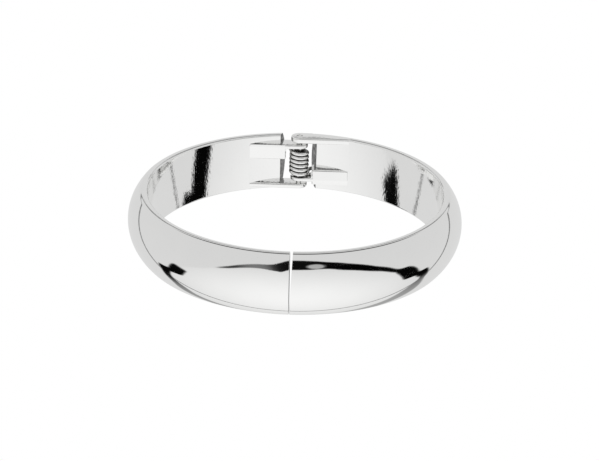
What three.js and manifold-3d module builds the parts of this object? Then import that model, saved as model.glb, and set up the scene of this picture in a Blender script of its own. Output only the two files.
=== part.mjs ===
// Spring-hinged bangle bracelet: two polished cast halves with a domed outside and a plain inside,
// joined at the back by interleaved knuckles, a rivet pin and a coiled torsion spring that keeps
// the bangle shut. The spring's legs run back past the knuckles, and their bent ends push on the end
// faces of the walls. The two halves differ in the heights of their knuckles, in where their walls end
// and in the right one's closing face, which is filed. The right half is modelled in the left one's
// place and given a half-turn about the Y axis, so its heights count down from the upper rim.
//
// Millimetres, +Z up. The origin is on the bangle's axis, in the plane that it lies on. The hinge is
// at +Y and the closing gap at -Y.

import * as THREE from "three";
import { mergeVertices } from "three/addons/utils/BufferGeometryUtils.js";
import Module from "manifold-3d";

const wasm = await Module();
wasm.setup();

// ---------------------------------------------------------------- driving dimensions

const band = {
  innerRadius: 29.0, // wrist side, a 58 mm bore
  height: 12.2,
  thickness: 3.9, // at the crown of the dome
  domeRadius: 8.8, // curve of the outer face, across the band
  innerEdge: 0.3, // rounding of the edge towards the wrist
  outerEdge: 0.28, // height of the rounding between dome and rim
  outerEdgeWidth: 0.39, // its width on the rim
  segments: 96, // facets round the full circle
  domeSteps: 8,
  edgeSteps: 2,
};

const pin = {
  radius: 0.55,
  recess: 0.12, // how far each riveted end lies inside its knuckle
  setback: 0.25, // pin axis, inside the inner wall's radius
  clearance: 0.07, // radial, in the knuckles
  sides: 24,
};

const knuckle = {
  radius: 1.8, // round end about the pin
  reach: 2.85, // where the thick ridge ends, from the pin axis
  rooting: 0.9, // how deep its tail is let into the band
  rimChamfer: 0.45, // on the rim knuckle's wrist-side edge
  arcSteps: 16,
};

// Each half's own heights, counted from the rim that its rim knuckle is at.
const left = {
  rimInset: 0.6, // how far the rim knuckle lies inside the rim
  rimHeight: 1.05, // thickness of the rim knuckle
  axialGap: 0.42, // between the ear and the other half's rim knuckle
  earHeight: 0.9, // thickness of the ear of the middle knuckle
  ridgeStep: 0, // how far the ridge stands above its ear
  ridgeHeight: 3.3, // the middle knuckle where it grows out of the band
  wallCrown: 3.1, // end of the wall at the dome, from the pin axis
  wallInner: 4.0, // end of the wall on the wrist side
};

const right = {
  rimInset: 0,
  rimHeight: 1.25,
  axialGap: 0.6,
  earHeight: 0.85,
  ridgeStep: 0.55,
  ridgeHeight: 3.3,
  wallCrown: 2.6,
  wallInner: 3.65,
};

const closing = {
  gap: 0.2, // between the two front faces
  relief: 0.4, // filed off the right half's face, at the upper rim
  reliefHeight: 9.5,
};

const spring = {
  wireRadius: 0.42,
  meanRadius: 1.69,
  pitch: 0.93,
  turns: 5,
  lift: 0.15, // how far the coil's middle lies above the band's
  leftLegAngle: 190, // degrees round the pin from +X at which the leg leaves the coil
  rightLegAngle: 350,
  legBend: 1.1, // straight wire that the bend at the end of a leg takes up
  legClearance: 0.2, // between a leg and the castings
  legSteps: 5,
  wireSides: 8,
  stepsPerTurn: 16,
};

// ---------------------------------------------------------------- sizes that follow

const midHeight = band.height / 2;
const pinY = band.innerRadius - pin.setback;
const knuckleInnerY = pinY - knuckle.radius;
const knuckleOuterY = pinY + knuckle.radius;
const ridgeMeet = Math.sqrt(band.innerRadius ** 2 - knuckleInnerY ** 2);
const domeCentreRadius = band.innerRadius + band.thickness - band.domeRadius;
const outerRadius = band.innerRadius + band.thickness;
const beyond = 3; // how far a cutter runs past what it cuts
const plated = { color: 0xd9dadb, metalness: 1, roughness: 0.06 };

// ---------------------------------------------------------------- solids

/** A closed geometry as a manifold-3d solid. */
function solidOf(geometry) {
  const bare = geometry.index ? geometry.toNonIndexed() : geometry.clone();
  bare.deleteAttribute("normal");
  bare.deleteAttribute("uv");
  const merged = mergeVertices(bare, 1e-4);
  const mesh = new wasm.Mesh({
    numProp: 3,
    vertProperties: merged.attributes.position.array,
    triVerts: new Uint32Array(merged.index.array),
  });
  return new wasm.Manifold(mesh);
}

/** A manifold-3d solid as a geometry. */
function geometryOf(solid) {
  const mesh = solid.getMesh();
  const stride = mesh.numProp;
  const points = new Float32Array(mesh.numVert * 3);
  for (let i = 0; i < mesh.numVert; i++) {
    points.set(mesh.vertProperties.subarray(i * stride, i * stride + 3), i * 3);
  }
  const geometry = new THREE.BufferGeometry();
  geometry.setAttribute("position", new THREE.BufferAttribute(points, 3));
  geometry.setIndex(new THREE.BufferAttribute(mesh.triVerts, 1));
  geometry.computeVertexNormals();
  return geometry;
}

/** A flat outline raised from one height to another. */
function raise(shape, fromZ, toZ) {
  const options = { depth: toZ - fromZ, bevelEnabled: false, curveSegments: knuckle.arcSteps };
  return solidOf(new THREE.ExtrudeGeometry(shape, options).translate(0, 0, fromZ));
}

/** An upright round rod or cutter. */
function rod(radius, x, y, fromZ, toZ, sides) {
  const geometry = new THREE.CylinderGeometry(radius, radius, toZ - fromZ, sides);
  geometry.rotateX(Math.PI / 2).translate(x, y, (fromZ + toZ) / 2);
  return solidOf(geometry);
}

/** An outline from a list of [x, y] corners. */
function outline(corners) {
  return new THREE.Shape(corners.map(([x, y]) => new THREE.Vector2(x, y)));
}

// ---------------------------------------------------------------- the band

/** Radius of the dome at a height above or below the band's middle. */
function domeAt(fromMiddle) {
  return domeCentreRadius + Math.sqrt(band.domeRadius ** 2 - fromMiddle ** 2);
}

/** Cross-section of the band as [radius, z] points, once round, from the wrist side's foot. */
function bandProfile() {
  const edge = band.innerEdge;
  const lower = [];
  for (let i = 0; i <= band.edgeSteps; i++) {
    const turn = (i / band.edgeSteps) * (Math.PI / 2);
    const r = band.innerRadius + edge * (1 - Math.cos(turn));
    lower.push([r, edge * (1 - Math.sin(turn))]);
  }
  const foot = domeAt(midHeight - band.outerEdge);
  const rimEnd = foot - band.outerEdgeWidth;
  for (let i = 0; i < band.edgeSteps; i++) {
    const turn = (i / band.edgeSteps) * (Math.PI / 2);
    const r = rimEnd + (foot - rimEnd) * Math.sin(turn);
    lower.push([r, band.outerEdge * (1 - Math.cos(turn))]);
  }
  const top = midHeight - band.outerEdge;
  const dome = [];
  for (let i = 0; i < band.domeSteps; i++) {
    const z = -top * Math.cos((i / band.domeSteps) * (Math.PI / 2));
    dome.push([domeAt(z), midHeight + z]);
  }
  const half = [...lower, ...dome];
  const upper = half.map(([r, z]) => [r, band.height - z]).reverse();
  return [...half, [outerRadius, midHeight], ...upper];
}

/** The whole ring, before it is parted into halves. */
function ring() {
  const points = bandProfile().map(([r, z]) => new THREE.Vector2(r, z));
  points.push(points[0].clone());
  const lathe = new THREE.LatheGeometry(points, band.segments);
  return solidOf(lathe.rotateX(Math.PI / 2));
}

/** How far from the pin, along X, a half's slanting wall end is at a given Y. */
function wallEnd(half, y) {
  const slope = (half.wallInner - half.wallCrown) / band.thickness;
  return half.wallInner - slope * (y - band.innerRadius);
}

/** The left side of the parting, seen from above, with the slanting end at the hinge. */
function leftSide(half) {
  const far = outerRadius + beyond;
  const near = band.innerRadius - beyond;
  const part = -closing.gap / 2;
  return outline([
    [part, -far],
    [part, 0],
    [-wallEnd(half, near), near],
    [-wallEnd(half, far), far],
    [-far, far],
    [-far, -far],
  ]);
}

// ---------------------------------------------------------------- the knuckles

/** A knuckle from above: a round end about the pin, and a tail that runs into the band. */
function knuckleOutline(half) {
  const root = band.innerRadius + knuckle.rooting;
  const tailX = -(ridgeMeet + knuckle.rooting / 2);
  const tailY = Math.sqrt(root ** 2 - tailX ** 2);
  const backX = -(half.wallInner + knuckle.rooting);
  const backY = Math.sqrt(root ** 2 - backX ** 2);
  const shape = new THREE.Shape();
  shape.moveTo(-ridgeMeet, knuckleInnerY);
  shape.lineTo(0, knuckleInnerY);
  shape.absarc(0, pinY, knuckle.radius, -Math.PI / 2, Math.PI / 2, false);
  shape.lineTo(-half.wallCrown, knuckleOuterY);
  shape.lineTo(backX, backY);
  shape.lineTo(tailX, tailY);
  shape.closePath();
  return shape;
}

/** The thick ridge behind the thin ear: the knuckle, cut off short of the spring. */
function ridgeLimit() {
  const far = outerRadius + beyond;
  return outline([
    [-far, 0],
    [-knuckle.reach, 0],
    [-knuckle.reach, far],
    [-far, far],
  ]);
}

/** The knuckle at the rim, with its wrist-side lower edge taken off. */
function rimKnuckle(half) {
  const foot = half.rimInset;
  const body = raise(knuckleOutline(half), foot, foot + half.rimHeight);
  const c = knuckle.rimChamfer;
  const wedge = outline([
    [knuckleInnerY - beyond, foot - beyond],
    [knuckleInnerY + c + beyond, foot - beyond],
    [knuckleInnerY - beyond, foot + c + beyond],
  ]);
  const length = 2 * outerRadius;
  const options = { depth: length, bevelEnabled: false };
  const cutter = new THREE.ExtrudeGeometry(wedge, options);
  cutter.rotateX(Math.PI / 2).rotateZ(Math.PI / 2).translate(-length / 2, 0, 0);
  return body.subtract(solidOf(cutter));
}

/** The middle knuckle: a thick ridge that thins to an ear round the pin. */
function middleKnuckle(half, other) {
  const earTop = band.height - other.rimInset - other.rimHeight - half.axialGap;
  const ridgeTop = earTop + half.ridgeStep;
  const ridgeBottom = ridgeTop - half.ridgeHeight;
  const whole = raise(knuckleOutline(half), ridgeBottom, ridgeTop);
  const thick = whole.intersect(raise(ridgeLimit(), ridgeBottom - beyond, ridgeTop + beyond));
  return thick.add(raise(knuckleOutline(half), earTop - half.earHeight, earTop));
}

// ---------------------------------------------------------------- the spring

/** Where the coil's wire is, at an angle in degrees round the pin and a height. */
function onCoil(degrees, z) {
  const turn = THREE.MathUtils.degToRad(degrees);
  const r = spring.meanRadius;
  return new THREE.Vector3(r * Math.cos(turn), pinY + r * Math.sin(turn), z);
}

/** A leg from the coil outwards: straight back along the tangent, then bent to its wall's end. */
function leg(start, degrees, half, side) {
  const tangent = THREE.MathUtils.degToRad(degrees);
  const back = new THREE.Vector3(-side * Math.sin(tangent), side * Math.cos(tangent), 0);
  const cornerY = knuckleOuterY + spring.wireRadius + spring.legClearance;
  const straight = (cornerY - start.y) / back.y;
  const corner = start.clone().addScaledVector(back, straight);
  const bendStart = start.clone().addScaledVector(back, straight - spring.legBend);
  const tipX = side * (wallEnd(half, cornerY + spring.wireRadius) - spring.legClearance);
  const tip = new THREE.Vector3(tipX, cornerY, start.z);
  return new THREE.QuadraticBezierCurve3(bendStart, corner, tip).getPoints(spring.legSteps);
}

/** The wire's centreline: the left leg, a coil that goes down as it turns, and the right leg. */
function springPath() {
  const { leftLegAngle, rightLegAngle } = spring;
  const sweep = 360 * spring.turns + rightLegAngle - leftLegAngle;
  const steps = Math.round((sweep / 360) * spring.stepsPerTurn);
  const drop = (spring.pitch * sweep) / 360;
  const top = midHeight + spring.lift + drop / 2;
  const coil = [];
  for (let i = 0; i <= steps; i++) {
    coil.push(onCoil(leftLegAngle + (sweep * i) / steps, top - (drop * i) / steps));
  }
  const leftLeg = leg(coil[0], leftLegAngle, left, -1).reverse();
  return [...leftLeg, ...coil, ...leg(coil[steps], rightLegAngle, right, 1)];
}

/** Round wire swept along the centreline. */
function springWire() {
  const points = springPath();
  const path = new THREE.CatmullRomCurve3(points, false, "centripetal");
  const section = new THREE.Shape();
  section.absarc(0, 0, spring.wireRadius, 0, 2 * Math.PI, false);
  return new THREE.ExtrudeGeometry(section, {
    steps: points.length - 1,
    extrudePath: path,
    curveSegments: spring.wireSides,
  });
}

// ---------------------------------------------------------------- one casting

/** One half in the left half's place, to go with the other half. */
function casting(half, other) {
  const top = band.height + beyond;
  const pinHole = rod(pin.radius + pin.clearance, 0, pinY, -beyond, top, pin.sides);
  const wall = ring().intersect(raise(leftSide(half), -beyond, top));
  return wall.add(rimKnuckle(half)).add(middleKnuckle(half, other)).subtract(pinHole);
}

/** The wedge filed off the right half's closing face, in the casting's own place. */
function closingRelief() {
  const far = outerRadius + beyond;
  const face = -closing.gap / 2;
  const side = outline([
    [face + beyond, -beyond],
    [face - closing.relief * (1 + beyond / closing.reliefHeight), -beyond],
    [face, closing.reliefHeight],
    [face + beyond, closing.reliefHeight],
  ]);
  const options = { depth: far, bevelEnabled: false };
  return solidOf(new THREE.ExtrudeGeometry(side, options).rotateX(Math.PI / 2));
}

// ---------------------------------------------------------------- the bangle

/** A named mesh with its own plated finish. */
function piece(name, geometry, finish = {}) {
  const mesh = new THREE.Mesh(geometry, new THREE.MeshStandardMaterial({ ...plated, ...finish }));
  mesh.name = name;
  return mesh;
}

const bangle = new THREE.Group();

bangle.add(piece("left_half", geometryOf(casting(left, right))));

const rightCast = casting(right, left).subtract(closingRelief());
const rightHalf = piece("right_half", geometryOf(rightCast));
rightHalf.rotation.y = Math.PI;
rightHalf.position.z = band.height;
bangle.add(rightHalf);

const pinLow = left.rimInset + pin.recess;
const pinHigh = band.height - right.rimInset - pin.recess;
const pinGeometry = new THREE.CylinderGeometry(pin.radius, pin.radius, pinHigh - pinLow, pin.sides);
const hingePin = piece("hinge_pin", pinGeometry, { color: 0xc4c6c8, roughness: 0.15 });
hingePin.rotation.x = Math.PI / 2;
hingePin.position.set(0, pinY, (pinLow + pinHigh) / 2);
bangle.add(hingePin);

bangle.add(piece("torsion_spring", springWire(), { color: 0xc9cbcc, roughness: 0.12 }));

export default bangle;
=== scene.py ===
"""Looks of the spring-hinged bangle bracelet.

Two polished cast halves, a riveted hinge pin and a coiled torsion spring take the place of the
plain CAD solids, in the same frame and at the same sizes. All lengths are metres.
"""

from __future__ import annotations

import logging
import math
from dataclasses import dataclass, field
from enum import Enum
from typing import Any, Callable, Iterable, Sequence

import bmesh
import bpy
from mathutils import Matrix, Vector

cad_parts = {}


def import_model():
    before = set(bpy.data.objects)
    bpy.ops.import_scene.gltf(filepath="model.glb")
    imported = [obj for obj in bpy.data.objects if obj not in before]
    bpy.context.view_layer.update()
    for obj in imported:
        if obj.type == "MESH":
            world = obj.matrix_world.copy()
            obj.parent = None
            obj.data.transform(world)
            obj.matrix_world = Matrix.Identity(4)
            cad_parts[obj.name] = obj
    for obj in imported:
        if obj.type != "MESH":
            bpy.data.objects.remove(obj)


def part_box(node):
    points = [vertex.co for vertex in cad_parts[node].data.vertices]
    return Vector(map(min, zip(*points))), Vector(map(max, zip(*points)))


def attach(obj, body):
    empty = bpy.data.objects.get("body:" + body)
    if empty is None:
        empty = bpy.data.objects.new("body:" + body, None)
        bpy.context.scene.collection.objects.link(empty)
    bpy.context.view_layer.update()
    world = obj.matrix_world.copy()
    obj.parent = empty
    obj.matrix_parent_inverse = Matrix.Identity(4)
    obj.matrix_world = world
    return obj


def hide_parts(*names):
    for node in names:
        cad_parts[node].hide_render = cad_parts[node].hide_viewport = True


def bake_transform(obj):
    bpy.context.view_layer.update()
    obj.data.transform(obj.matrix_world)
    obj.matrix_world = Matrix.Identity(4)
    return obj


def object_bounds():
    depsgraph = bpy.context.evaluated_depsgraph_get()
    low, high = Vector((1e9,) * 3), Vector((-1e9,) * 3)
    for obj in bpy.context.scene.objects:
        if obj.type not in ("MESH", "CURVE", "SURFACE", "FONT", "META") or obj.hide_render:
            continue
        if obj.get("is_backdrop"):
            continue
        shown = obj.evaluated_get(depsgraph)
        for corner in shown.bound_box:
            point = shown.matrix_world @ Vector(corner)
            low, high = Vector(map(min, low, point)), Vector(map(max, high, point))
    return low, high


LOG = logging.getLogger("bangle")
MM = 0.001
NEAR = 0.001 * MM


class Body(Enum):
    """The two rigid bodies that the hinge joins."""

    FIXED = "fixed_half"
    OPENING = "opening_half"


class Finish(Enum):
    """Material slots of a casting."""

    POLISHED = 0
    SAWN = 1


# ---------------------------------------------------------------- mesh helpers


def new_piece(name: str, bm: bmesh.types.BMesh, smooth_angle: float = 32.0) -> bpy.types.Object:
    """Turn a bmesh into an object at the origin.

    Args:
        name: Name of the new object.
        bm: Finished shape, in metres. It is freed.
        smooth_angle: Edges sharper than this, in degrees, stay sharp.

    Returns:
        The new object, linked to the scene.
    """
    mesh = bpy.data.meshes.new(name)
    bm.to_mesh(mesh)
    bm.free()
    mesh.polygons.foreach_set("use_smooth", [True] * len(mesh.polygons))
    mesh.set_sharp_from_angle(angle=math.radians(smooth_angle))
    piece = bpy.data.objects.new(name, mesh)
    bpy.context.scene.collection.objects.link(piece)
    return piece


def tidy(bm: bmesh.types.BMesh, distance: float = 0.2 * NEAR) -> bmesh.types.BMesh:
    """Merge doubles and turn every face outwards."""
    bmesh.ops.remove_doubles(bm, verts=bm.verts, dist=distance)
    bmesh.ops.recalc_face_normals(bm, faces=bm.faces)
    return bm


def only(geom: Iterable[Any], kind: type) -> list[Any]:
    """The vertices, edges or faces among the results of an operator."""
    return [g for g in geom if isinstance(g, kind)]


def bevel_edges(
    bm: bmesh.types.BMesh, edges: Iterable[bmesh.types.BMEdge], width: float, segments: int
) -> None:
    """Round a set of edges.

    Args:
        bm: Mesh that holds the edges.
        edges: Edges to round.
        width: Width of the rounding.
        segments: Facets across it.
    """
    bmesh.ops.bevel(
        bm,
        geom=list(edges),
        offset=width,
        offset_type="OFFSET",
        segments=segments,
        profile=0.5,
        affect="EDGES",
        clamp_overlap=True,
        material=-1,
    )


def open_path(bm: bmesh.types.BMesh, points: Sequence[Vector]) -> list[bmesh.types.BMVert]:
    """Join points by edges, and return their vertices."""
    verts = [bm.verts.new(p) for p in points]
    for a, b in zip(verts, verts[1:]):
        bm.edges.new((a, b))
    return verts


def plate(
    corners: Sequence[Vector], rise: Vector,
    rounded: Callable[[Vector, Vector], bool] | None = None, width: float = 0.0,
    segments: int = 5, least_angle: float = 30.0,
) -> bmesh.types.BMesh:
    """A flat outline raised into a solid, with some of its edges rounded.

    Args:
        corners: Outline, in order.
        rise: How far and which way the outline is raised.
        rounded: Told the two ends of an edge, says whether it is rounded.
        width: Width of the rounding.
        segments: Facets across it.
        least_angle: Edges that turn by less than this, in degrees, are never rounded.

    Returns:
        The solid.
    """
    bm = bmesh.new()
    face = bm.faces.new([bm.verts.new(p) for p in corners])
    raised = bmesh.ops.extrude_face_region(bm, geom=[face])
    bmesh.ops.translate(bm, verts=only(raised["geom"], bmesh.types.BMVert), vec=rise)
    bmesh.ops.recalc_face_normals(bm, faces=bm.faces)
    if rounded:
        sharp = [e for e in bm.edges if e.calc_face_angle(0) > math.radians(least_angle)]
        chosen = [e for e in sharp if rounded(e.verts[0].co, e.verts[1].co)]
        bevel_edges(bm, chosen, width, segments)
    return tidy(bm)


def arc(centre: Vector, radius: float, start: float, end: float, steps: int) -> list[Vector]:
    """Points of an arc in the plane of the band.

    Args:
        centre: Centre of the arc.
        radius: Its radius.
        start: First angle, in degrees from +X.
        end: Last angle.
        steps: Number of chords.

    Returns:
        The points, ends included.
    """
    turns = [math.radians(start + (end - start) * i / steps) for i in range(steps + 1)]
    return [centre + Vector((radius * math.cos(t), radius * math.sin(t), 0)) for t in turns]


def combine(
    name: str, base: bmesh.types.BMesh, steps: Sequence[tuple[str, bmesh.types.BMesh]]
) -> bmesh.types.BMesh:
    """Join and cut solids, one after another.

    Args:
        name: Name for the working objects.
        base: Solid that is worked on.
        steps: Pairs of UNION or DIFFERENCE and a solid.

    Returns:
        The result as one solid.
    """
    work = new_piece(f"{name}_work", base)
    tools = []
    for kind, tool_bm in steps:
        tool = new_piece(f"{name}_tool", tool_bm)
        modifier = work.modifiers.new(kind.title(), "BOOLEAN")
        modifier.operation = kind
        modifier.solver = "MANIFOLD"
        modifier.object = tool
        tools.append(tool)
    bpy.context.view_layer.update()
    shaped = work.evaluated_get(bpy.context.evaluated_depsgraph_get())
    bm = bmesh.new()
    bm.from_mesh(shaped.to_mesh())
    shaped.to_mesh_clear()
    for piece in [work, *tools]:
        mesh = piece.data
        bpy.data.objects.remove(piece)
        bpy.data.meshes.remove(mesh)
    bmesh.ops.remove_doubles(bm, verts=bm.verts, dist=0.1 * NEAR)
    return bm


# ---------------------------------------------------------------- the castings


@dataclass
class BandSizes:
    """Sizes of the band, in metres, from the frame where it has them."""

    outer_radius: float
    height: float
    inner_radius: float = 29.0 * MM
    dome_radius: float = 8.8 * MM
    inner_edge: float = 0.34 * MM
    outer_edge: float = 0.3 * MM
    closing_gap: float = 0.11 * MM
    closing_relief: float = 0.4 * MM
    relief_height: float = 9.5 * MM
    end_rounding: float = 0.1 * MM
    sweep_margin: float = 2.0
    sweep_steps: int = 300
    dome_steps: int = 36
    edge_steps: int = 6
    end_steps: int = 3

    @property
    def closing_x(self) -> float:
        """Place of the left half's closing face."""
        return -self.closing_gap / 2

    @property
    def relief_slope(self) -> float:
        """How far the filed face leans back for its height."""
        return self.closing_relief / self.relief_height

    @property
    def dome_centre(self) -> float:
        """Radius at which the dome's curve has its centre."""
        return self.outer_radius - self.dome_radius


@dataclass
class HingeSizes:
    """Sizes that the hinge ends of the two castings share, in metres."""

    pin_y: float
    pin_radius: float
    knuckle_radius: float = 1.8 * MM
    ridge_reach: float = 2.85 * MM
    rooting: float = 0.9 * MM
    rounding: float = 0.34 * MM
    ear_rounding: float = 0.26 * MM
    inner_fillet: float = 0.5 * MM
    fillet_inset: float = 0.12 * MM
    bore_clearance: float = 0.08 * MM
    round_steps: int = 28
    fillet_steps: int = 8
    bore_sides: int = 64


@dataclass(frozen=True)
class Knuckles:
    """One casting's own heights, from the rim that its rim knuckle is at, in metres."""

    rim_inset: float
    rim_height: float
    axial_gap: float
    ear_height: float
    ridge_step: float
    crown_end: float
    inner_end: float
    ridge_height: float = 3.3 * MM


LEFT = Knuckles(
    rim_inset=0.6 * MM, rim_height=1.05 * MM, axial_gap=0.42 * MM, ear_height=0.9 * MM,
    ridge_step=0.0, crown_end=3.1 * MM, inner_end=4.0 * MM,
)
RIGHT = Knuckles(
    rim_inset=0.0, rim_height=1.25 * MM, axial_gap=0.6 * MM, ear_height=0.85 * MM,
    ridge_step=0.55 * MM, crown_end=2.6 * MM, inner_end=3.65 * MM,
)


@dataclass
class Casting:
    """One half of the bangle, modelled in the left half's place."""

    band: BandSizes
    hinge: HingeSizes
    own: Knuckles
    other: Knuckles
    far: float = 40 * MM
    overcut: float = 3 * MM
    ridge_setback: float = 2 * NEAR
    ridge_sunk: float = 0.02 * MM

    # -- heights of the knuckles, from the rim that this half's rim knuckle is at

    @property
    def ear_top(self) -> float:
        """Upper face of the ear."""
        other_low = self.band.height - self.other.rim_inset - self.other.rim_height
        return other_low - self.own.axial_gap

    @property
    def ear_bottom(self) -> float:
        """Lower face of the ear."""
        return self.ear_top - self.own.ear_height

    @property
    def ridge_top(self) -> float:
        """Upper face of the middle knuckle's ridge."""
        return self.ear_top + self.own.ridge_step

    @property
    def ridge_bottom(self) -> float:
        """Lower face of the middle knuckle's ridge."""
        return self.ridge_top - self.own.ridge_height

    @property
    def face_y(self) -> float:
        """Plane of the knuckles' wrist-side faces."""
        return self.hinge.pin_y - self.hinge.knuckle_radius

    @property
    def ridge_meet(self) -> float:
        """How far to the side that plane meets the inner wall."""
        return math.sqrt(self.band.inner_radius**2 - self.face_y**2)

    @property
    def wall_way(self) -> Vector:
        """Outward normal of the wall's slanting end at the hinge."""
        depth = self.band.outer_radius - self.band.inner_radius
        return Vector((depth, self.own.crown_end - self.own.inner_end, 0)).normalized()

    # -- the band

    def section(self, bm: bmesh.types.BMesh) -> list[bmesh.types.BMEdge]:
        """Draw the rounded D of the band's cross-section on the -Y side.

        Args:
            bm: Mesh that receives it.

        Returns:
            The edges of the closed section.
        """
        b = self.band
        half_angle = math.asin(b.height / 2 / b.dome_radius)
        dome = []
        for i in range(b.dome_steps + 1):
            turn = half_angle * (2 * i / b.dome_steps - 1)
            radius = b.dome_centre + b.dome_radius * math.cos(turn)
            dome.append(Vector((0, -radius, b.height / 2 + b.dome_radius * math.sin(turn))))
        wall = [Vector((0, -b.inner_radius, b.height)), Vector((0, -b.inner_radius, 0))]
        verts = [bm.verts.new(p) for p in [*dome, *wall]]
        face = bm.faces.new(verts)
        for corners, width in ((verts[-2:], b.inner_edge), ((verts[0], verts[-3]), b.outer_edge)):
            bmesh.ops.bevel(
                bm, geom=list(corners), offset=width, offset_type="OFFSET",
                segments=b.edge_steps, profile=0.5, affect="VERTICES",
                clamp_overlap=False, material=-1,
            )
        face = bm.faces[:][0]
        edges = list(face.edges)
        bmesh.ops.delete(bm, geom=[face], context="FACES_ONLY")
        return edges

    def ring_half(self) -> bmesh.types.BMesh:
        """The band from its closing face to its hinge end, as a closed solid."""
        bm = bmesh.new()
        edges = self.section(bm)
        verts = list({v for e in edges for v in e.verts})
        over = math.radians(self.band.sweep_margin)
        bmesh.ops.rotate(bm, verts=verts, cent=(0, 0, 0), matrix=Matrix.Rotation(over, 3, "Z"))
        bmesh.ops.spin(
            bm, geom=[*verts, *edges], cent=(0, 0, 0), axis=(0, 0, -1),
            angle=math.pi + over, steps=self.band.sweep_steps, use_merge=False,
        )
        self.trim(bm, Vector((self.band.closing_x, 0, 0)), Vector((1, 0, 0)))
        self.trim(bm, Vector((-self.own.inner_end, self.band.inner_radius, 0)), self.wall_way)
        return tidy(bm)

    def trim(self, bm: bmesh.types.BMesh, point: Vector, out: Vector) -> None:
        """Cut the band off at a plane, close it and round the edge of the new face.

        Args:
            bm: Open band.
            point: A point of the plane.
            out: Way the removed end lies.
        """
        geom = [*bm.verts, *bm.edges, *bm.faces]
        near = [g for g in geom if self.end_of(g, point)]
        cut = bmesh.ops.bisect_plane(
            bm, geom=near, dist=0.01 * NEAR, plane_co=point, plane_no=out, clear_outer=True,
        )
        rim = only(cut["geom_cut"], bmesh.types.BMEdge)
        bmesh.ops.edgeloop_fill(bm, edges=rim)
        bmesh.ops.recalc_face_normals(bm, faces=bm.faces)
        rim = [e for e in rim if e.is_valid]
        bevel_edges(bm, rim, self.band.end_rounding, self.band.end_steps)

    def end_of(self, part: Any, point: Vector) -> bool:
        """Whether a vertex, edge or face is at the same end of the band as a point."""
        verts = [part] if isinstance(part, bmesh.types.BMVert) else part.verts
        side = 1 if point.y > 0 else -1
        return all(v.co.y * side >= 0 for v in verts)

    # -- knuckles

    def knuckle_outline(self, z: float) -> list[Vector]:
        """A knuckle from above: a round end about the pin and a tail let into the band.

        Args:
            z: Height of the outline.

        Returns:
            The corners, in order.
        """
        h = self.hinge
        root = self.band.inner_radius + h.rooting
        tail_x = self.ridge_meet + h.rooting / 2
        back_x = self.own.inner_end + h.rooting
        pin = Vector((0, h.pin_y, z))
        return [
            Vector((-self.ridge_meet, self.face_y, z)),
            *arc(pin, h.knuckle_radius, -90, 90, h.round_steps),
            Vector((-self.own.crown_end, h.pin_y + h.knuckle_radius, z)),
            Vector((-back_x, math.sqrt(root**2 - back_x**2), z)),
            Vector((-tail_x, math.sqrt(root**2 - tail_x**2), z)),
        ]

    def is_worn(self, a: Vector, b: Vector) -> bool:
        """Whether an edge of a knuckle is out in the open, where it is rounded."""
        back = self.hinge.pin_y + self.hinge.knuckle_radius + NEAR
        open_side = all(p.y <= back and p.x > NEAR - self.ridge_meet for p in (a, b))
        return open_side or all(abs(p.y - self.face_y) < NEAR for p in (a, b))

    def rim_knuckle(self) -> bmesh.types.BMesh:
        """The knuckle at the rim."""
        rise = Vector((0, 0, self.own.rim_height))
        outline = self.knuckle_outline(self.own.rim_inset)
        return plate(outline, rise, self.is_worn, self.hinge.rounding)

    def ear(self) -> bmesh.types.BMesh:
        """The thin ear of the middle knuckle, all along it."""
        rise = Vector((0, 0, self.own.ear_height))
        outline = self.knuckle_outline(self.ear_bottom)
        return plate(outline, rise, self.is_worn, self.hinge.ear_rounding)

    def corner_fillet(self) -> bmesh.types.BMesh:
        """The cast fillet between the ridge's end and the ear."""
        h = self.hinge
        r = h.inner_fillet
        front = self.face_y + h.fillet_inset
        corner = Vector((-h.ridge_reach, front, self.ear_bottom))
        turns = [math.radians(90 + 90 * i / h.fillet_steps) for i in range(h.fillet_steps + 1)]
        curve = [
            corner + Vector((r + r * math.cos(t), 0, -r + r * math.sin(t))) for t in turns
        ]
        inside = corner + Vector((-r / 2, 0, r / 2))
        corners = [
            Vector((curve[0].x, front, inside.z)), *curve,
            Vector((inside.x, front, curve[-1].z)), inside,
        ]
        return plate(corners, Vector((0, 2 * (h.knuckle_radius - h.fillet_inset), 0)))

    def ridge(self) -> bmesh.types.BMesh:
        """The thick ridge of the middle knuckle, which stops short of the spring."""
        h = self.hinge
        root = self.band.inner_radius + h.rooting
        tail_x = self.ridge_meet + h.rooting / 2
        z = self.ridge_bottom
        front = self.face_y + self.ridge_setback
        corners = [
            Vector((-self.ridge_meet, front, z)),
            Vector((-h.ridge_reach, front, z)),
            Vector((-h.ridge_reach, h.pin_y + h.knuckle_radius, z)),
            Vector((-h.ridge_reach - h.rooting, root, z)),
            Vector((-tail_x, math.sqrt(root**2 - tail_x**2), z)),
        ]
        rise = Vector((0, 0, self.own.ridge_height - self.ridge_sunk))

        def worn(a: Vector, b: Vector) -> bool:
            """Whether an edge is low on the wrist side, or at the ridge's end."""
            low = min(a.z, b.z) < z + NEAR
            wrist = all(abs(p.y - front) < NEAR for p in (a, b))
            end = all(abs(p.x + h.ridge_reach) < NEAR for p in (a, b))
            return (low or end) and wrist or (low and end)

        return plate(corners, rise, worn, h.rounding)

    # -- cuts

    def bore(self) -> bmesh.types.BMesh:
        """The cutter of the pin's bore."""
        h = self.hinge
        radius = h.pin_radius + h.bore_clearance
        bm = bmesh.new()
        bmesh.ops.create_cone(
            bm, cap_ends=True, segments=h.bore_sides, radius1=radius, radius2=radius,
            depth=self.band.height + 2 * self.overcut,
            matrix=Matrix.Translation((0, h.pin_y, self.band.height / 2)),
        )
        return bm

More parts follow.
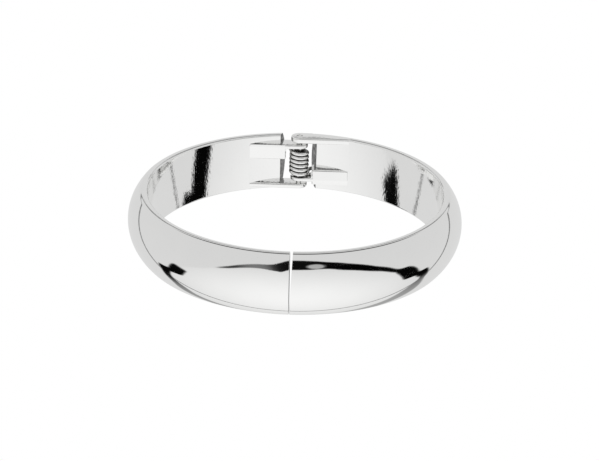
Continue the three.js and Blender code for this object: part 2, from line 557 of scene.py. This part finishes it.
    def build(self, name: str, relieved: bool) -> bmesh.types.BMesh:
        """Join the band and its knuckles, cut the bore and mark the sawn faces.

        Args:
            name: Name for the working objects.
            relieved: Whether the closing face is filed.

        Returns:
            The casting, in the left half's place.
        """
        joined = (self.rim_knuckle(), self.ridge(), self.ear(), self.corner_fillet())
        cut = (self.bore(), self.relief()) if relieved else (self.bore(),)
        bm = combine(name, self.ring_half(), [
            *(("UNION", part) for part in joined), *(("DIFFERENCE", part) for part in cut),
        ])
        bm.normal_update()
        band = self.band
        mark_flat(bm, self.wall_way, Vector((-self.own.inner_end, band.inner_radius, 0)))
        mark_flat(bm, Vector((1, 0, 0)), Vector((band.closing_x, 0, 0)))
        filed = Vector((1, 0, -band.relief_slope)).normalized()
        mark_flat(bm, filed, Vector((band.closing_x - band.closing_relief, 0, 0)))
        return bm

    def relief(self) -> bmesh.types.BMesh:
        """The wedge that is filed off the right half's closing face."""
        b = self.band
        over = self.overcut
        corners = [
            Vector((b.closing_x + over, 0, -over)),
            Vector((b.closing_x - b.closing_relief - b.relief_slope * over, 0, -over)),
            Vector((b.closing_x, 0, b.relief_height)),
            Vector((b.closing_x + over, 0, b.relief_height)),
        ]
        return plate(corners, Vector((0, -self.far, 0)))


def mark_flat(
    bm: bmesh.types.BMesh, way: Vector, point: Vector, aligned: float = 0.9995,
    depth: float = 0.02 * MM,
) -> None:
    """Give the faces that lie in one plane the sawn finish.

    Args:
        bm: The piece.
        way: Outward normal of the plane.
        point: A point of the plane.
        aligned: Least cosine between a face's normal and the plane's.
        depth: How far from the plane a face may lie.
    """
    for face in bm.faces:
        off = abs((face.calc_center_median() - point).dot(way))
        if face.normal.dot(way) > aligned and off < depth:
            face.material_index = Finish.SAWN.value


def half_turn(bm: bmesh.types.BMesh, height: float) -> bmesh.types.BMesh:
    """Turn a casting half round about the front-to-back axis, into the right half's place."""
    turn = Matrix.Translation((0, 0, height)) @ Matrix.Rotation(math.pi, 4, "Y")
    bmesh.ops.transform(bm, matrix=turn, verts=bm.verts)
    return bm


# ---------------------------------------------------------------- pin and spring


@dataclass
class HingePin:
    """The riveted pin through the four knuckles."""

    centre_y: float
    radius: float
    low: float
    high: float
    head_rise: float = 0.1 * MM
    head_steps: int = 8
    sides: int = 64

    def build(self) -> bmesh.types.BMesh:
        """Spin the pin's outline: a rod with a low dome at each end."""
        bm = bmesh.new()
        points = []
        for i in range(self.head_steps + 1):
            turn = math.radians(90 * i / self.head_steps)
            points.append(Vector((
                self.radius * math.sin(turn), 0, self.low + self.head_rise * (1 - math.cos(turn)),
            )))
        upper = [Vector((p.x, 0, self.low + self.high - p.z)) for p in reversed(points)]
        verts = open_path(bm, [*points, *upper])
        bmesh.ops.translate(bm, verts=verts, vec=(0, self.centre_y, 0))
        bmesh.ops.spin(
            bm, geom=[*verts, *bm.edges], cent=(0, self.centre_y, 0), axis=(0, 0, 1),
            angle=2 * math.pi, steps=self.sides, use_merge=True,
        )
        return tidy(bm)


@dataclass
class TorsionSpring:
    """A close-wound coil round the pin, with legs that bend to the ends of the walls."""

    centre_y: float
    middle: float
    knuckle_outer_y: float
    wire_radius: float = 0.43 * MM
    mean_radius: float = 1.69 * MM
    pitch: float = 0.93 * MM
    turns: int = 5
    left_angle: float = 190.0
    right_angle: float = 350.0
    leg_clearance: float = 0.2 * MM
    bend_radius: float = 0.75 * MM
    tip_rounding: float = 0.129 * MM
    tip_steps: int = 3
    bend_steps: int = 12
    wire_sides: int = 24
    steps_per_turn: int = 72

    @property
    def sweep(self) -> float:
        """How far the coil goes round, in degrees."""
        return 360 * self.turns + self.right_angle - self.left_angle

    @property
    def drop(self) -> float:
        """How far the wire's centreline drops along the coil."""
        return self.pitch * self.sweep / 360

    def build(self, left_tip: float, right_tip: float) -> bmesh.types.BMesh:
        """Spin the wire's section into a coil, and draw out its two ends.

        Args:
            left_tip: Place along X of the left leg's tip.
            right_tip: Place along X of the right leg's tip.

        Returns:
            The spring.
        """
        bm = bmesh.new()
        start = math.radians(self.left_angle)
        axis = Vector((0, self.centre_y, 0))
        out = Vector((math.cos(start), math.sin(start), 0)) * self.mean_radius
        at = axis + out + Vector((0, 0, self.middle + self.drop / 2))
        along = Vector((-math.sin(start), math.cos(start), 0))
        place = Matrix.Translation(at) @ along.to_track_quat("Z", "Y").to_matrix().to_4x4()
        ring = bmesh.ops.create_circle(
            bm, cap_ends=False, radius=self.wire_radius, segments=self.wire_sides, matrix=place,
        )["verts"]
        first = list({e for v in ring for e in v.link_edges})
        steps = round(self.sweep / 360 * self.steps_per_turn)
        coil = bmesh.ops.spin(
            bm, geom=[*ring, *first], cent=axis, axis=(0, 0, 1),
            dvec=(0, 0, -self.drop / steps), angle=math.radians(self.sweep), steps=steps,
            use_merge=False,
        )
        last = only(coil["geom_last"], bmesh.types.BMEdge)
        end = math.radians(self.right_angle)
        self.leg(bm, first, -along, left_tip)
        self.leg(bm, last, Vector((-math.sin(end), math.cos(end), 0)), right_tip)
        return tidy(bm)

    def leg(
        self, bm: bmesh.types.BMesh, edges: list[bmesh.types.BMEdge], way: Vector, tip_x: float
    ) -> None:
        """Draw one end of the wire straight back, bend it to its wall and close it.

        Args:
            bm: The spring so far.
            edges: Open end of the coil.
            way: Direction in which the leg leaves the coil.
            tip_x: Place along X of its tip.
        """
        centre = self.middle_of(list({v for e in edges for v in e.verts}))
        side = math.copysign(1, tip_x)
        corner_y = self.knuckle_outer_y + self.wire_radius + self.leg_clearance
        turn = math.radians(90) - math.atan2(abs(way.x), way.y)
        straight = (corner_y - centre.y) / way.y - self.bend_radius * math.tan(turn / 2)
        verts, edges = self.draw_out(bm, edges)
        bmesh.ops.translate(bm, verts=verts, vec=way * straight)
        centre += way * straight
        across = Vector((side * way.y, -side * way.x, 0))
        bend = bmesh.ops.spin(
            bm, geom=[*verts, *edges], cent=centre + across * self.bend_radius, axis=(0, 0, -side),
            angle=turn, steps=self.bend_steps, use_merge=False,
        )
        verts, edges = self.draw_out(bm, only(bend["geom_last"], bmesh.types.BMEdge))
        bmesh.ops.translate(bm, verts=verts, vec=(tip_x - self.middle_of(verts).x, 0, 0))
        tip = bmesh.ops.edgeloop_fill(bm, edges=edges)["faces"]
        bevel_edges(bm, [e for f in tip for e in f.edges], self.tip_rounding, self.tip_steps)

    def draw_out(
        self, bm: bmesh.types.BMesh, edges: list[bmesh.types.BMEdge]
    ) -> tuple[list[bmesh.types.BMVert], list[bmesh.types.BMEdge]]:
        """Extrude the wire's open end in place, and return its new vertices and edges."""
        drawn = bmesh.ops.extrude_edge_only(bm, edges=edges)["geom"]
        return only(drawn, bmesh.types.BMVert), only(drawn, bmesh.types.BMEdge)

    def middle_of(self, verts: Sequence[bmesh.types.BMVert]) -> Vector:
        """The middle of a ring of vertices."""
        return sum((v.co for v in verts), Vector()) / len(verts)


# ---------------------------------------------------------------- finishes


ACROSS = (1, 1, 0)


class NodeMath:
    """Arithmetic on the nodes of one node tree."""

    def __init__(self, tree: Any) -> None:
        """Work on a tree."""
        self.tree = tree

    def op(self, operation: str, *values: Any) -> Any:
        """Add a Math node.

        Args:
            operation: Name of the operation.
            values: Numbers or outputs to work on.

        Returns:
            Its output.
        """
        node = self.tree.nodes.new("ShaderNodeMath")
        node.operation = operation
        for socket, value in zip(node.inputs, values):
            self.feed(socket, value)
        return node.outputs["Value"]

    def dot(self, direction: Any, axis: Vector) -> Any:
        """How far a direction goes along an axis."""
        node = self.tree.nodes.new("ShaderNodeVectorMath")
        node.operation = "DOT_PRODUCT"
        self.feed(node.inputs[0], direction)
        node.inputs[1].default_value = axis
        return node.outputs["Value"]

    def fade(self, value: Any, start: Any, end: Any) -> Any:
        """Smoothly from 0 where a value is at the start to 1 at the end."""
        node = self.tree.nodes.new("ShaderNodeMapRange")
        node.interpolation_type = "SMOOTHSTEP"
        self.feed(node.inputs["Value"], value)
        self.feed(node.inputs["From Min"], start)
        self.feed(node.inputs["From Max"], end)
        return node.outputs["Result"]

    def curve(self, value: Any, points: Sequence[tuple[float, float]]) -> Any:
        """Add a curve through points whose coordinates lie between 0 and 1."""
        node = self.tree.nodes.new("ShaderNodeFloatCurve")
        line = node.mapping.curves[0]
        for spare in range(len(points) - 2):
            line.points.new(points[spare + 1][0], points[spare + 1][1])
        line.points[0].location = points[0]
        line.points[-1].location = points[-1]
        for point in line.points:
            point.handle_type = "AUTO_CLAMPED"
        node.mapping.update()
        self.feed(node.inputs["Value"], value)
        return node.outputs["Value"]

    def noise(self, place: Any, scale: float, detail: float) -> Any:
        """Add a noise on a place, and return its output."""
        node = self.tree.nodes.new("ShaderNodeTexNoise")
        node.inputs["Scale"].default_value = scale
        node.inputs["Detail"].default_value = detail
        self.feed(node.inputs["Vector"], place)
        return node.outputs["Fac"]

    def stretch(self, place: Any, scale: tuple[float, float, float]) -> Any:
        """Scale a place by its own amount along each axis."""
        node = self.tree.nodes.new("ShaderNodeMapping")
        node.inputs["Scale"].default_value = scale
        self.feed(node.inputs["Vector"], place)
        return node.outputs["Vector"]

    def shift(self, place: Any, offset: tuple[float, float, float]) -> Any:
        """Move a place by an offset."""
        node = self.tree.nodes.new("ShaderNodeMapping")
        node.inputs["Location"].default_value = offset
        self.feed(node.inputs["Vector"], place)
        return node.outputs["Vector"]

    def length(self, place: Any) -> Any:
        """How far a place is from the origin."""
        node = self.tree.nodes.new("ShaderNodeVectorMath")
        node.operation = "LENGTH"
        self.feed(node.inputs[0], place)
        return node.outputs["Value"]

    def span(self, value: Any, low: tuple[float, float], high: tuple[float, float]) -> Any:
        """A straight line through two (value, result) pairs, held at its ends."""
        node = self.tree.nodes.new("ShaderNodeMapRange")
        node.inputs["From Min"].default_value, node.inputs["To Min"].default_value = low
        node.inputs["From Max"].default_value, node.inputs["To Max"].default_value = high
        self.feed(node.inputs["Value"], value)
        return node.outputs["Result"]

    def tint(
        self, share: Any, first: tuple[float, float, float], second: tuple[float, float, float]
    ) -> Any:
        """Mix two colours by a share."""
        node = self.tree.nodes.new("ShaderNodeMix")
        node.data_type = "RGBA"
        node.inputs["A"].default_value = (*first, 1)
        node.inputs["B"].default_value = (*second, 1)
        self.feed(node.inputs["Factor"], share)
        return node.outputs["Result"]

    def bump(self, height: Any, distance: float, below: Any = None) -> Any:
        """Turn a height between 0 and 1 into a bent normal.

        Args:
            height: The height.
            distance: How high 1 is, in metres.
            below: Normal that this bump lies on, if any.

        Returns:
            The normal.
        """
        node = self.tree.nodes.new("ShaderNodeBump")
        node.inputs["Strength"].default_value = 1.0
        node.inputs["Distance"].default_value = distance
        self.feed(node.inputs["Height"], height)
        if below is not None:
            self.feed(node.inputs["Normal"], below)
        return node.outputs["Normal"]

    def feed(self, socket: Any, value: Any) -> None:
        """Link an output to a socket, or set a number on it."""
        if isinstance(value, (int, float)):
            socket.default_value = value
        else:
            self.tree.links.new(value, socket)


def metal(name: str) -> tuple[bpy.types.Material, Any, NodeMath, Any]:
    """Start a metallic material.

    Args:
        name: Its name.

    Returns:
        The material, its shader, arithmetic on its nodes and the piece's own coordinates.
    """
    material = bpy.data.materials.new(name)
    material.use_nodes = True
    tree = material.node_tree
    shader = tree.nodes["Principled BSDF"]
    shader.inputs["Metallic"].default_value = 1.0
    return material, shader, NodeMath(tree), tree.nodes.new("ShaderNodeTexCoord").outputs["Object"]


@dataclass(frozen=True)
class PolishedPlate:
    """Bright silver-tone plating over a polished casting."""

    name: str
    wrist_radius: float
    bright: tuple[float, float, float] = (0.935, 0.935, 0.925)
    dull: tuple[float, float, float] = (0.90, 0.90, 0.895)
    tone_scale: float = 160.0
    roughness: float = 0.03
    hazy_roughness: float = 0.078
    wipe_scale: float = 220.0
    wipe_levels: tuple[float, float] = (0.42, 0.72)
    wipe_stretch: tuple[float, float, float] = (1, 1, 6)
    peel: float = 0.0012 * MM
    wrist_peel: float = 0.013 * MM
    wrist_margin: float = 0.15 * MM
    wrist_fade: float = 0.2 * MM
    peel_scale: float = 2300.0
    peel_stretch: tuple[float, float, float] = (1, 1, 0.45)
    wave: float = 0.0012 * MM
    wave_scale: float = 330.0
    pit: float = 0.006 * MM
    pit_scale: float = 240.0
    pit_size: float = 0.045
    pit_share: float = 0.12

    def make(self) -> bpy.types.Material:
        """Build the material.

        Returns:
            The material, with slow waves, fine orange peel, a few pits and hazy wiping marks.
        """
        material, shader, maths, place = metal(self.name)
        tone = maths.noise(place, self.tone_scale, 2.0)
        maths.feed(shader.inputs["Base Color"], maths.tint(tone, self.dull, self.bright))

        wiped = maths.noise(maths.stretch(place, self.wipe_stretch), self.wipe_scale, 5.0)
        least, most = self.wipe_levels
        rough = maths.span(wiped, (least, self.roughness), (most, self.hazy_roughness))
        maths.feed(shader.inputs["Roughness"], rough)

        waves = maths.bump(maths.noise(place, self.wave_scale, 0.0), self.wave)
        out = maths.length(maths.stretch(place, ACROSS))
        edge = self.wrist_radius + self.wrist_margin
        outside = maths.fade(out, edge, edge + self.wrist_fade)
        depth = maths.span(outside, (0, self.wrist_peel), (1, self.peel))
        grain = maths.noise(maths.stretch(place, self.peel_stretch), self.peel_scale, 2.0)
        peel = maths.bump(maths.op("MULTIPLY", grain, depth), 1.0, waves)
        pits = maths.bump(self.pits(maths, place), self.pit, peel)
        maths.feed(shader.inputs["Normal"], pits)
        return material

    def pits(self, maths: NodeMath, place: Any) -> Any:
        """Height with a few small round dips where the plating pitted."""
        cells = maths.tree.nodes.new("ShaderNodeTexVoronoi")
        cells.inputs["Scale"].default_value = self.pit_scale
        maths.feed(cells.inputs["Vector"], place)
        near = maths.span(cells.outputs["Distance"], (0.0, 0.0), (self.pit_size, 1.0))
        split = maths.tree.nodes.new("ShaderNodeSeparateColor")
        maths.feed(split.inputs["Color"], cells.outputs["Color"])
        chosen = maths.op("LESS_THAN", split.outputs["Red"], self.pit_share)
        dip = maths.op("MULTIPLY", chosen, maths.op("SUBTRACT", 1.0, near))
        return maths.op("SUBTRACT", 1.0, dip)


@dataclass(frozen=True)
class SpringWire:
    """Bright drawn wire, wound into a coil, with painted shade in the grooves between its turns.
    """

    name: str
    axis_y: float
    unshaded_from: float
    bright: tuple[float, float, float] = (0.90, 0.90, 0.89)
    # Colour of the painted shade in the coil's grooves; the roughness below goes with it.
    groove_shade: tuple[float, float, float] = (0.10, 0.10, 0.095)
    bright_roughness: float = 0.09
    groove_roughness: float = 0.35
    edge: float = 0.2 * MM
    shade_edge_scale: float = 1500.0
    draw: float = 0.0012 * MM
    draw_scale: float = 1800.0
    draw_stretch: tuple[float, float, float] = (0.3, 0.3, 5)

    def make(self) -> bpy.types.Material:
        """Build the material.

        Returns:
            The material, bright on the outside of the coil and darkened by painted shade in its
            grooves.
        """
        material, shader, maths, place = metal(self.name)
        from_axis = maths.shift(place, (0, -self.axis_y, 0))
        out = maths.length(maths.stretch(from_axis, ACROSS))
        # Painted shade: the wire is coloured dark near the coil's axis, in the grooves between its
        # turns, and a noise breaks up the edge of that shade.
        shade_edge_noise = maths.op("MULTIPLY", maths.noise(place, self.shade_edge_scale, 3.0), self.edge / 2)
        unshaded = maths.fade(
            maths.op("SUBTRACT", out, shade_edge_noise), self.unshaded_from - self.edge, self.unshaded_from,
        )
        maths.feed(shader.inputs["Base Color"], maths.tint(unshaded, self.groove_shade, self.bright))
        rough = maths.span(unshaded, (0, self.groove_roughness), (1, self.bright_roughness))
        maths.feed(shader.inputs["Roughness"], rough)
        marks = maths.noise(maths.stretch(place, self.draw_stretch), self.draw_scale, 2.0)
        maths.feed(shader.inputs["Normal"], maths.bump(marks, self.draw))
        return material


@dataclass(frozen=True)
class SawnFace:
    """A sawn end face that the polishing wheel doesn't reach: dark and scored."""

    name: str
    dark: tuple[float, float, float] = (0.035, 0.035, 0.035)
    pale: tuple[float, float, float] = (0.36, 0.36, 0.35)
    cover_scale: float = 1400.0
    cover_levels: tuple[float, float] = (0.4, 0.72)
    score: float = 0.02 * MM
    score_scale: float = 2400.0
    score_stretch: tuple[float, float, float] = (0.25, 0.25, 1)
    smooth: tuple[float, float] = (0.3, 0.28)
    rough: tuple[float, float] = (0.7, 0.5)

    def make(self) -> bpy.types.Material:
        """Build the material.

        Returns:
            The material, with level saw marks under thin plating.
        """
        material, shader, maths, place = metal(self.name)
        marks = maths.noise(maths.stretch(place, self.score_stretch), self.score_scale, 3.0)
        bare, plated = self.cover_levels
        patches = maths.noise(place, self.cover_scale, 2.0)
        cover = maths.span(patches, (bare, 0.0), (plated, 1.0))
        maths.feed(shader.inputs["Base Color"], maths.tint(cover, self.dark, self.pale))
        maths.feed(shader.inputs["Roughness"], maths.span(marks, self.smooth, self.rough))
        maths.feed(shader.inputs["Normal"], maths.bump(marks, self.score))
        return material


# ---------------------------------------------------------------- studio


@dataclass(frozen=True)
class TentGap:
    """The dark gap between the white sheet in front and the tent, at one turn round the sheet.

    Turn goes clockwise from the top, seen from the bangle; all are degrees but depth, a share.
    """

    turn: float
    middle: float
    half_width: float
    depth: float


@dataclass
class LightTent:
    """A white light tent: a bright sheet in front and below, and a greyer cloth above."""

    sheet: Vector = field(default_factory=lambda: Vector((0, -0.822, -0.569)).normalized())
    gap: tuple[TentGap, ...] = (
        TentGap(-180, 86, 4.0, 0.20),
        TentGap(-156, 84, 4.0, 0.33),
        TentGap(-144, 81.0, 3.4, 0.50),
        TentGap(-134, 81.5, 3.0, 0.88),
        TentGap(-126.5, 81.5, 4.2, 0.93),
        TentGap(-121, 76.5, 4.6, 0.93),
        TentGap(-117, 72.5, 5.0, 0.93),
        TentGap(-112, 71.6, 5.4, 0.93),
        TentGap(-107, 71.0, 5.5, 0.92),
        TentGap(-103, 70.2, 5.2, 0.75),
        TentGap(-99, 69.5, 4.0, 0.0),
        TentGap(-64, 61, 0.8, 0.0),
        TentGap(-48, 61.5, 1.6, 0.74),
        TentGap(-36, 63.8, 2.8, 0.58),
        TentGap(-24, 65.3, 4.4, 0.46),
        TentGap(-12, 63.0, 7.5, 0.74),
        TentGap(0, 70.5, 11.0, 0.90),
        TentGap(12, 71.0, 10.0, 0.90),
        TentGap(24, 71.5, 7.3, 0.94),
        TentGap(36, 69.5, 6.6, 0.95),
        TentGap(48, 68.5, 5.4, 0.95),
        TentGap(60, 67.6, 4.2, 0.95),
        TentGap(72, 68.3, 3.2, 0.94),
        TentGap(84, 69.0, 2.4, 0.94),
        TentGap(93, 72.5, 5.2, 0.94),
        TentGap(104, 73.6, 6.0, 0.94),
        TentGap(114.5, 74.3, 5.6, 0.94),
        TentGap(119.5, 81.5, 4.6, 0.94),
        TentGap(124.5, 83.0, 4.2, 0.92),
        TentGap(130, 84.3, 3.0, 0.65),
        TentGap(138, 82.0, 4.2, 0.42),
        TentGap(156, 84, 6.0, 0.28),
        TentGap(180, 86, 4.0, 0.20),
    )
    softness: float = 1.3
    far_edge: Vector = field(default_factory=lambda: Vector((0, 0.862, -0.507)).normalized())
    far_angle: float = 56.4
    far_width: float = 1.6
    far_core: float = 0.2
    far_depth: float = 0.45
    behind: Vector = field(default_factory=lambda: Vector((0, 0.6, 0.8)).normalized())
    behind_angle: float = 19.0
    behind_depth: float = 0.62
    behind_softness: float = 3.0
    card: tuple[float, float] = (17.0, 32.0)
    card_core: float = 3.9
    card_rim: float = 7.15
    card_depth: float = 0.78
    sheet_tone: float = 0.80
    sheet_floor: float = 0.117
    sheet_front: float = 0.109
    tent_tone: float = 0.833
    tent_top: float = -0.01
    seam: float = 2.0
    metal: float = 0.92
    gamma: float = 2.2

    def around(self, maths: NodeMath, turn: Any, name: str, scale: float) -> Any:
        """One measure of the gap as a curve over the turn round the sheet."""
        points = [((g.turn + 180) / 360, getattr(g, name) / scale) for g in self.gap]
        return maths.op("MULTIPLY", maths.curve(turn, points), scale)

    def make(self) -> bpy.types.World:
        """Build the world.

        Returns:
            The world, whose brightness is a function of the direction alone.
        """
        world = bpy.data.worlds.new("light_tent")
        world.use_nodes = True
        tree = world.node_tree
        maths = NodeMath(tree)
        way = tree.nodes.new("ShaderNodeTexCoord").outputs["Generated"]
        right = Vector((1, 0, 0))
        up = right.cross(self.sheet)
        off = self.angle_to(maths, way, self.sheet)
        turn = maths.op("DEGREES", maths.op(
            "ARCTAN2", maths.dot(way, right), maths.dot(way, up * math.copysign(1, up.z)),
        ))
        share = maths.op("ADD", maths.op("DIVIDE", turn, 360), 0.5)

        middle = self.around(maths, share, "middle", 100)
        width = self.around(maths, share, "half_width", 20)
        depth = self.around(maths, share, "depth", 1)
        away = maths.op("ABSOLUTE", maths.op("SUBTRACT", off, middle))
        start = maths.op("SUBTRACT", width, self.softness)
        end = maths.op("ADD", width, self.softness)
        inside = maths.op("SUBTRACT", 1.0, maths.fade(away, start, end))
        card = self.card_at(maths, way)
        dark = maths.op("MULTIPLY", maths.op("MULTIPLY", inside, depth), card)
        dark = maths.op("MAXIMUM", dark, self.edge_at(maths, way))
        dark = maths.op("MAXIMUM", dark, self.opening_at(maths, way))

        low = maths.dot(way, Vector((0, 0, -1)))
        front = maths.dot(way, Vector((0, -1, 0)))
        sheet = maths.op("MULTIPLY_ADD", low, self.sheet_floor, self.sheet_tone)
        sheet = maths.op("MULTIPLY_ADD", front, self.sheet_front, sheet)
        tent = maths.op("MULTIPLY_ADD", low, -self.tent_top, self.tent_tone)
        near, far = maths.op("SUBTRACT", middle, self.seam), maths.op("ADD", middle, self.seam)
        beyond = maths.fade(off, near, far)
        cloth = maths.op("MULTIPLY_ADD", maths.op("SUBTRACT", tent, sheet), beyond, sheet)
        tone = maths.op("MULTIPLY", cloth, maths.op("SUBTRACT", 1.0, dark))
        light = maths.op("DIVIDE", maths.op("POWER", tone, self.gamma), self.metal)
        back = tree.nodes["Background"]
        tree.links.new(light, back.inputs["Strength"])
        back.inputs["Color"].default_value = (1, 1, 1, 1)
        return world

    def angle_to(self, maths: NodeMath, way: Any, axis: Vector) -> Any:
        """Angle between a direction and an axis, in degrees."""
        return maths.op("DEGREES", maths.op("ARCCOSINE", maths.dot(way, axis)))

    def edge_at(self, maths: NodeMath, way: Any) -> Any:
        """How dark the thin far edge of the white sheet is, behind the bangle."""
        off = self.angle_to(maths, way, self.far_edge)
        away = maths.op("ABSOLUTE", maths.op("SUBTRACT", off, self.far_angle))
        line = maths.fade(away, self.far_width, self.far_core)
        return maths.op("MULTIPLY", line, self.far_depth)

    def opening_at(self, maths: NodeMath, way: Any) -> Any:
        """How dark the tent's opening is, high up behind the bangle."""
        off = self.angle_to(maths, way, self.behind)
        soft = self.behind_softness
        hole = maths.fade(off, self.behind_angle + soft, self.behind_angle - soft)
        return maths.op("MULTIPLY", hole, self.behind_depth)

    def card_at(self, maths: NodeMath, way: Any) -> Any:
        """1 away from the small pale card that hangs in the gap, less on it."""
        side, rise = (math.radians(a) for a in self.card)
        at = Vector((
            math.sin(side) * math.cos(rise), -math.cos(side) * math.cos(rise), math.sin(rise),
        ))
        off = self.angle_to(maths, way, at)
        edge = maths.fade(off, self.card_core, self.card_rim)
        return maths.op("MULTIPLY_ADD", edge, self.card_depth, 1 - self.card_depth)


@dataclass
class Studio:
    """Camera, floor and light."""

    middle: float
    azimuth: float = 1.2
    elevation: float = 24.0
    distance: float = 300 * MM
    sensor: float = 36.0
    lens: float = 91.0
    roll: float = 0.025
    shift: tuple[float, float] = (0.0077, -0.024)
    nearest: float = 10 * MM
    floor_size: float = 4.0
    floor_drop: float = 0.05 * MM

    def camera(self) -> bpy.types.Object:
        """A camera that looks at the bangle's middle, a little from above."""
        data = bpy.data.cameras.new("camera")
        data.sensor_fit = "HORIZONTAL"
        data.sensor_width = self.sensor
        data.lens = self.lens
        data.shift_x, data.shift_y = self.shift
        data.clip_start = self.nearest
        camera = bpy.data.objects.new("camera", data)
        tilt = math.radians(self.elevation)
        away = Vector((0, -math.cos(tilt), math.sin(tilt))) * self.distance
        turn = Matrix.Rotation(math.radians(90 - self.elevation), 4, "X")
        roll = Matrix.Rotation(self.roll, 4, "Z")
        around = Matrix.Rotation(math.radians(self.azimuth), 4, "Z")
        raised = Matrix.Translation((0, 0, self.middle))
        camera.matrix_world = raised @ around @ Matrix.Translation(away) @ turn @ roll
        bpy.context.scene.collection.objects.link(camera)
        bpy.context.scene.camera = camera
        return camera

    def floor(self) -> bpy.types.Object:
        """A plain white floor."""
        bm = bmesh.new()
        bmesh.ops.create_grid(bm, x_segments=1, y_segments=1, size=self.floor_size)
        bmesh.ops.translate(bm, verts=bm.verts, vec=(0, 0, -self.floor_drop))
        floor = new_piece("floor", bm)
        material = bpy.data.materials.new("white_floor")
        material.use_nodes = True
        tree = material.node_tree
        tree.nodes.clear()
        glow = tree.nodes.new("ShaderNodeEmission")
        glow.inputs["Color"].default_value = (1, 1, 1, 1)
        glow.inputs["Strength"].default_value = 1.0
        out = tree.nodes.new("ShaderNodeOutputMaterial")
        tree.links.new(glow.outputs["Emission"], out.inputs["Surface"])
        floor.data.materials.append(material)
        floor.visible_glossy = False
        floor.visible_diffuse = False
        floor.visible_shadow = False
        floor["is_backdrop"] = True
        return floor

    def build(self) -> None:
        """Set up the whole studio."""
        self.camera()
        self.floor()
        scene = bpy.context.scene
        scene.world = LightTent().make()
        scene.view_settings.view_transform = "Standard"
        scene.view_settings.look = "None"


# ---------------------------------------------------------------- the whole


def settle(
    piece: bpy.types.Object, node: str, slot: str, *materials: bpy.types.Material
) -> bpy.types.Object:
    """Give a piece its finish and hide the CAD node that it stands for.

    Args:
        piece: The finished piece.
        node: CAD node that it stands for.
        slot: Not used.
        materials: Its finishes, in the order of its material slots.

    Returns:
        The same piece.
    """
    for material in materials:
        piece.data.materials.append(material)
    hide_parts(node)
    return piece


def main() -> None:
    """Build the bangle and its studio."""
    logging.basicConfig(level=logging.INFO, format="%(name)s: %(message)s")
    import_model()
    low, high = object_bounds()
    pin_low, pin_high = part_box("hinge_pin")
    pin_y = (pin_low.y + pin_high.y) / 2
    pin_radius = (pin_high.x - pin_low.x) / 2

    band = BandSizes(outer_radius=high.x, height=high.z - low.z)
    hinge = HingeSizes(pin_y=pin_y, pin_radius=pin_radius)
    left_bm = Casting(band, hinge, LEFT, RIGHT).build("left", relieved=False)
    right_bm = Casting(band, hinge, RIGHT, LEFT).build("right", relieved=True)
    left = new_piece("left_band", left_bm)
    right = new_piece("right_band", half_turn(right_bm, band.height))
    polished = PolishedPlate("polished_plate", band.inner_radius).make()
    sawn = SawnFace("sawn_face").make()
    settle(left, "left_half", "left_band", polished, sawn)
    settle(right, "right_half", "right_band", polished, sawn)
    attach(left, Body.OPENING.value)
    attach(right, Body.FIXED.value)

    pin = new_piece("pin", HingePin(pin_y, pin_radius, pin_low.z, pin_high.z).build())
    settle(pin, "hinge_pin", "pin_steel", PolishedPlate("pin_plate", band.inner_radius).make())
    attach(pin, Body.FIXED.value)

    wire_low, wire_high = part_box("torsion_spring")
    spring = TorsionSpring(pin_y, (wire_low.z + wire_high.z) / 2, pin_y + hinge.knuckle_radius)
    coil = new_piece("coil", spring.build(wire_low.x, wire_high.x))
    # Radius from the pin inside which the spring's wire gets painted shade.
    unshaded_from = spring.mean_radius + spring.wire_radius * 0.75
    settle(coil, "torsion_spring", "spring_wire", SpringWire("spring", pin_y, unshaded_from).make())
    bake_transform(coil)
    for piece in (left, right, pin, coil):
        LOG.info("%s: %d faces", piece.name, len(piece.data.polygons))

    Studio(band.height / 2).build()


if __name__ == "__main__":
    main()
